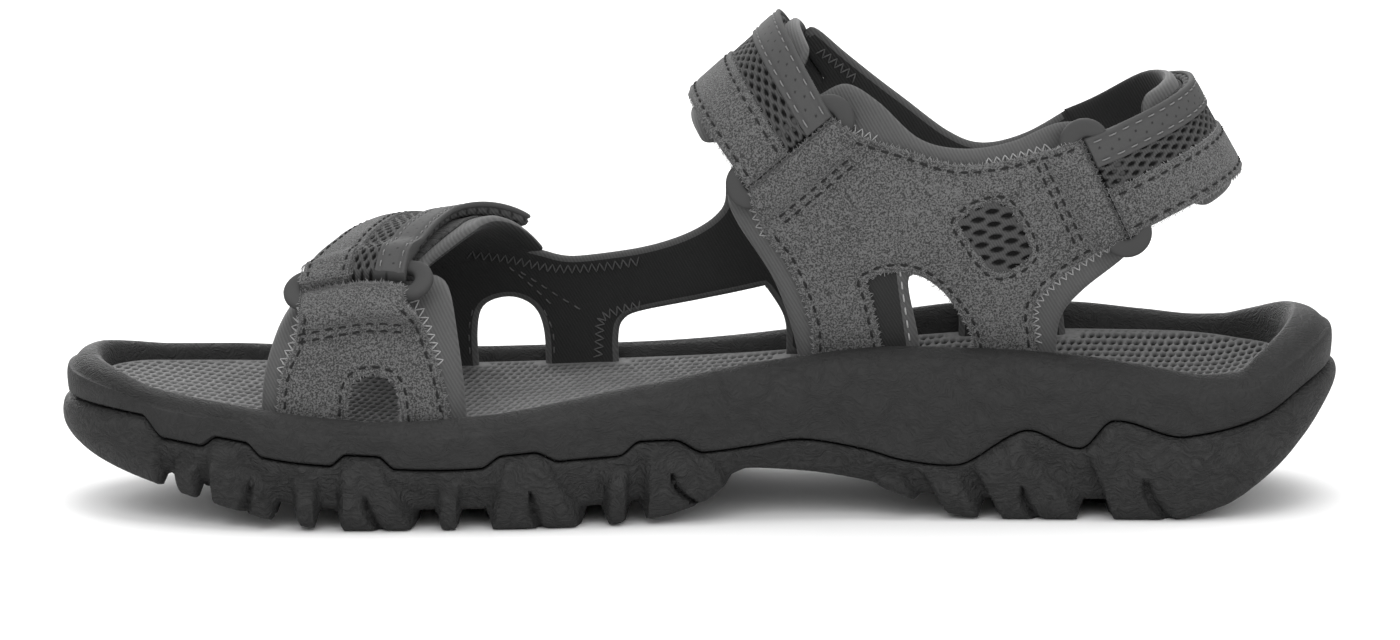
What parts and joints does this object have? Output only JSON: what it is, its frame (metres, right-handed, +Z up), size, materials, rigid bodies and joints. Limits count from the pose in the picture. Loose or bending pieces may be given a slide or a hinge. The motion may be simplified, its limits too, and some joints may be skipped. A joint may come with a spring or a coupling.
{
  "type": "hiking sandal",
  "caption": "Open hiking sandal for the right foot: lugged outsole, foam midsole and footbed, padded suede straps that close over rings at forefoot, instep and heel.",
  "frame": {"origin": "middle of the sole's box on the ground", "axes": "+X to the heel, -Y to the inner side of the foot, +Z up"},
  "size_m": [0.292, 0.1087, 0.1118],
  "materials": {
    "outsole_rubber": "moulded rubber, fine leathery grain",
    "midsole_foam": "moulded foam, satin",
    "footbed_foam": "moulded foam with a fine raised pattern",
    "padded_lining": "brushed knit over thin padding",
    "suede": "napped suede",
    "mesh_webbing": "open knit mesh",
    "smooth_trim": "smooth coated synthetic",
    "ring_plastic": "moulded plastic, satin"
  },
  "bodies": {
    "root": {"outsole": "outsole_rubber", "midsole": "midsole_foam", "footbed": "footbed_foam", "lateral_upper": "padded_lining", "medial_forefoot_pad": "padded_lining", "medial_forefoot_tab": "suede", "medial_quarter_pad": "padded_lining", "medial_quarter": "suede", "forefoot_strap": "mesh_webbing", "forefoot_strap_suede": "suede", "forefoot_strap_trim": "smooth_trim", "forefoot_ring": "ring_plastic", "instep_strap": "mesh_webbing", "instep_strap_suede": "suede", "instep_strap_trim": "smooth_trim", "instep_ring": "ring_plastic", "heel_strap": "mesh_webbing", "heel_strap_suede": "suede", "heel_strap_trim": "smooth_trim", "heel_ring": "ring_plastic"}
  },
  "joints": []
}
